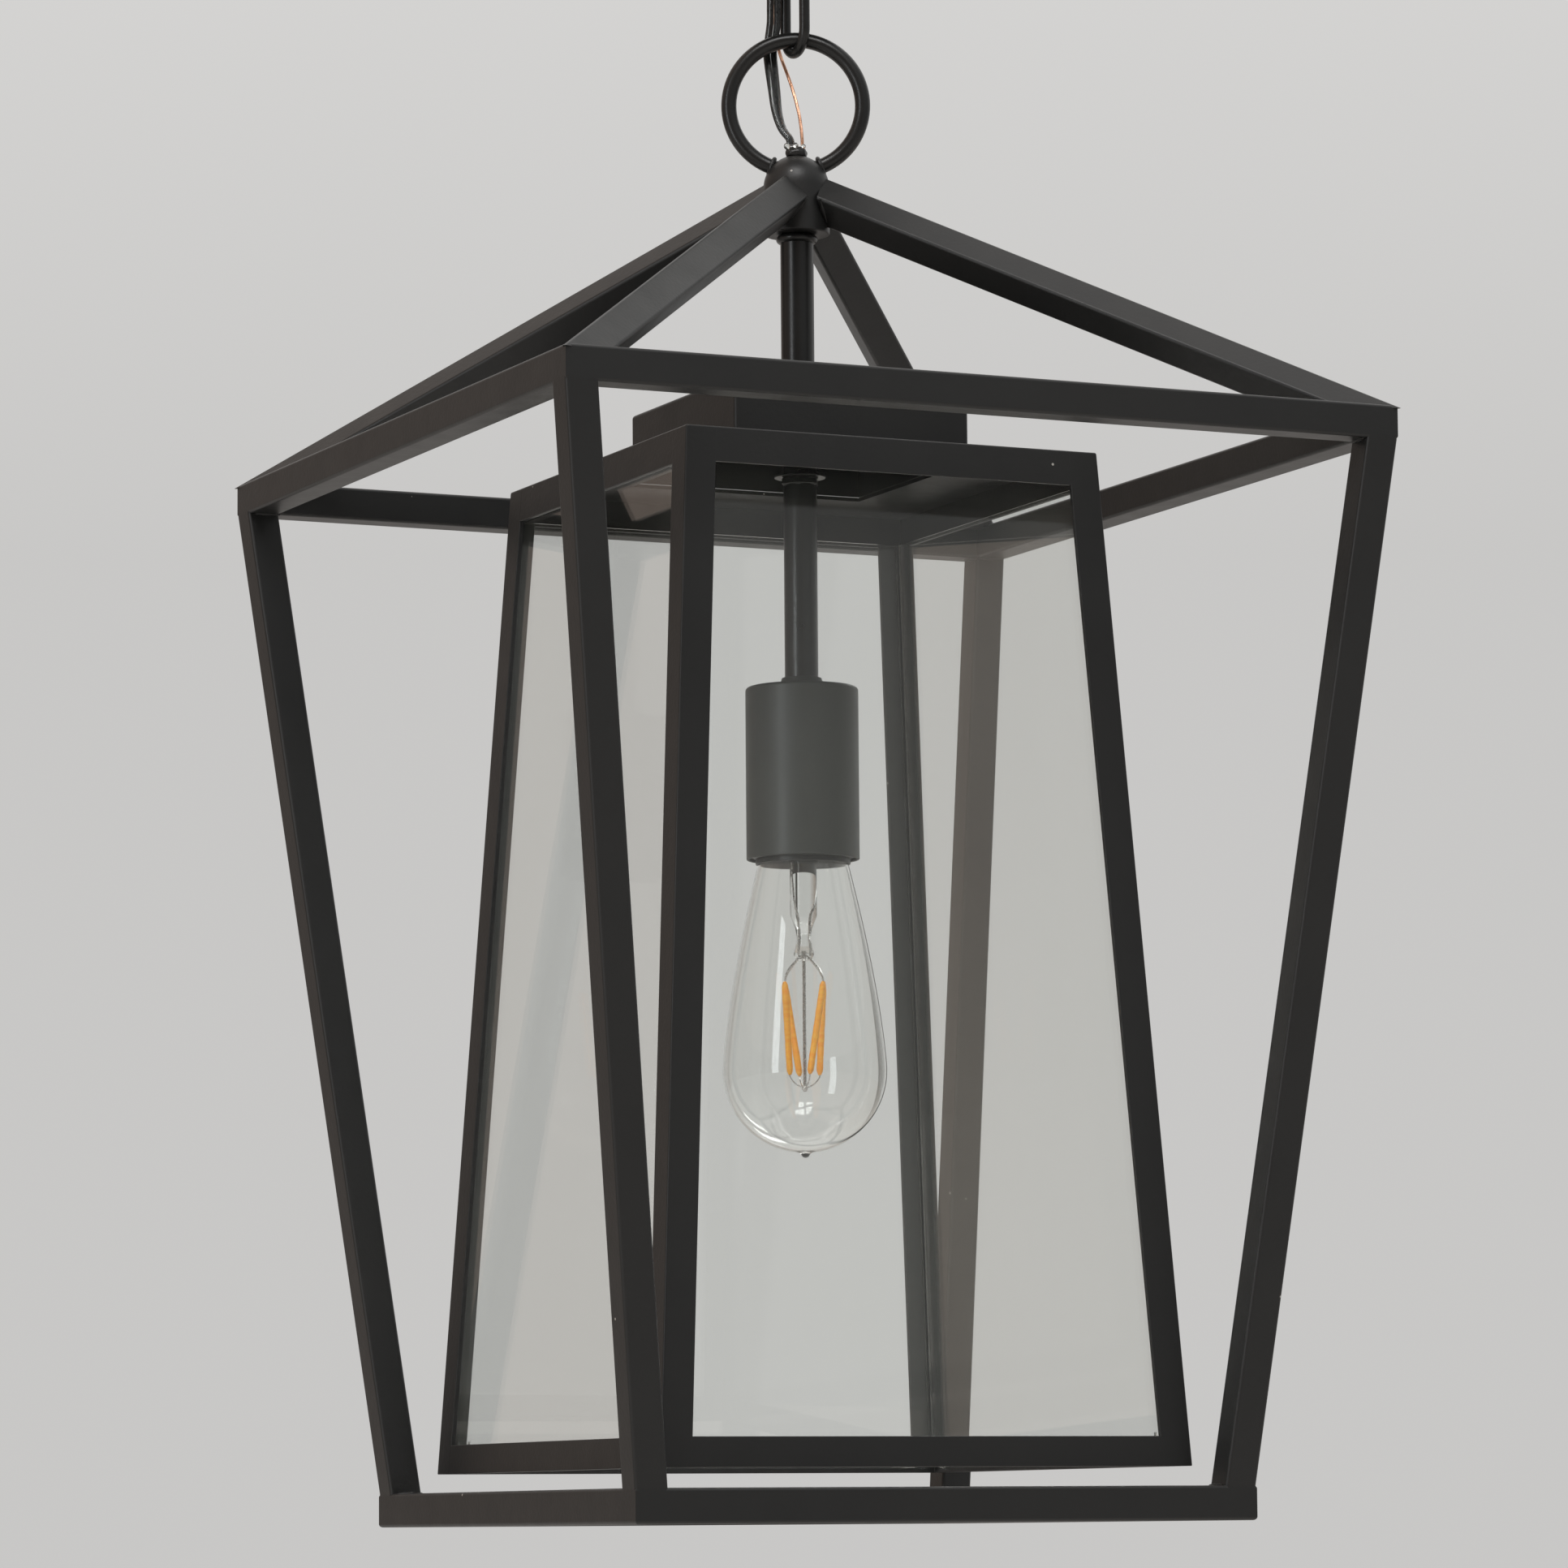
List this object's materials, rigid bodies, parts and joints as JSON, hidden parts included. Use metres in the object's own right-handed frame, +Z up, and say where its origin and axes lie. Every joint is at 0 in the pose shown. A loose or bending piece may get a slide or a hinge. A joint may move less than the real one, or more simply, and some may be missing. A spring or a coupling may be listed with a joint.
{
  "type": "hanging lantern",
  "caption": "Black metal hanging lantern: an open square cage with a peaked roof round a tapered glazed lantern with one screw-in lamp, hung from a ceiling rose.",
  "frame": {"origin": "the middle of the ceiling strap's top face, on the ceiling", "axes": "+Z up; X and Y along the sides of the square cage; the front is -Y"},
  "size_m": [0.34, 0.34, 0.6595],
  "materials": {
    "black_coat": "satin black powder coat",
    "sleeve_coat": "matt dark grey coat",
    "zinc_steel": "zinc plated steel",
    "brass": "plain brass contacts",
    "cap_metal": "thin rolled lamp cap",
    "white_plastic": "moulded connector",
    "black_bush": "moulded bush",
    "pane_glass": "clear float glass, lightly marked",
    "lamp_glass": "clear blown glass",
    "filament_amber": "phosphor coated filaments on thin wires",
    "flex_clear": "soft see-through sheath over grey cores",
    "bare_copper": "bare copper strand"
  },
  "bodies": {
    "ceiling": {"ceiling_rose": "black_coat", "mounting_strap": "zinc_steel", "canopy_loop": "black_coat", "loop_nut": "black_coat", "rose_grommet": "black_bush", "terminal_block": "white_plastic"},
    "link": {"chain_link": "black_coat", "flex_upper": "flex_clear", "earth_upper": "bare_copper"},
    "lantern": {"suspension_ring": "black_coat", "hub": "black_coat", "hub_collar": "black_coat", "ceiling_plate": "black_coat", "canopy_box": "black_coat", "stem_upper": "black_coat", "stem_lower": "black_coat", "box_nut": "black_coat", "holder_collar": "black_coat", "top_rail_1": "black_coat", "top_rail_2": "black_coat", "top_rail_3": "black_coat", "top_rail_4": "black_coat", "bottom_rail_1": "black_coat", "bottom_rail_2": "black_coat", "bottom_rail_3": "black_coat", "bottom_rail_4": "black_coat", "post_1": "black_coat", "post_2": "black_coat", "post_3": "black_coat", "post_4": "black_coat", "roof_bar_1": "black_coat", "roof_bar_2": "black_coat", "roof_bar_3": "black_coat", "roof_bar_4": "black_coat", "inner_top_rail_1": "black_coat", "inner_top_rail_2": "black_coat", "inner_top_rail_3": "black_coat", "inner_top_rail_4": "black_coat", "inner_bottom_rail_1": "black_coat", "inner_bottom_rail_2": "black_coat", "inner_bottom_rail_3": "black_coat", "inner_bottom_rail_4": "black_coat", "inner_post_1": "black_coat", "inner_post_2": "black_coat", "inner_post_3": "black_coat", "inner_post_4": "black_coat", "hub_grommet": "black_bush", "lampholder": "sleeve_coat", "socket_insert": "black_bush", "socket_shell": "brass", "socket_contact": "brass", "flex_lower": "flex_clear", "earth_lower": "bare_copper", "glass_1": "pane_glass", "glass_2": "pane_glass", "glass_3": "pane_glass", "glass_4": "pane_glass"},
    "bulb": {"bulb_cap": "cap_metal", "bulb_glass": "lamp_glass", "bulb_filaments": "filament_amber"}
  },
  "joints": [
    {"name": "link_swing", "type": "hinge", "parent": "ceiling", "child": "link", "pos_m": [0, 0, -0.0568], "axis": [1, 0, 0], "range_deg": [-30, 30], "deforming": ["flex_upper", "earth_upper"]},
    {"name": "lantern_swing", "type": "hinge", "parent": "link", "child": "lantern", "pos_m": [0, 0, -0.0861], "axis": [0, 1, 0], "range_deg": [-25, 25], "deforming": ["flex_lower", "earth_lower"]},
    {"name": "bulb_removal", "type": "slide", "parent": "lantern", "child": "bulb", "axis": [0, 0, -1], "range_m": [0, 0.045]}
  ]
}
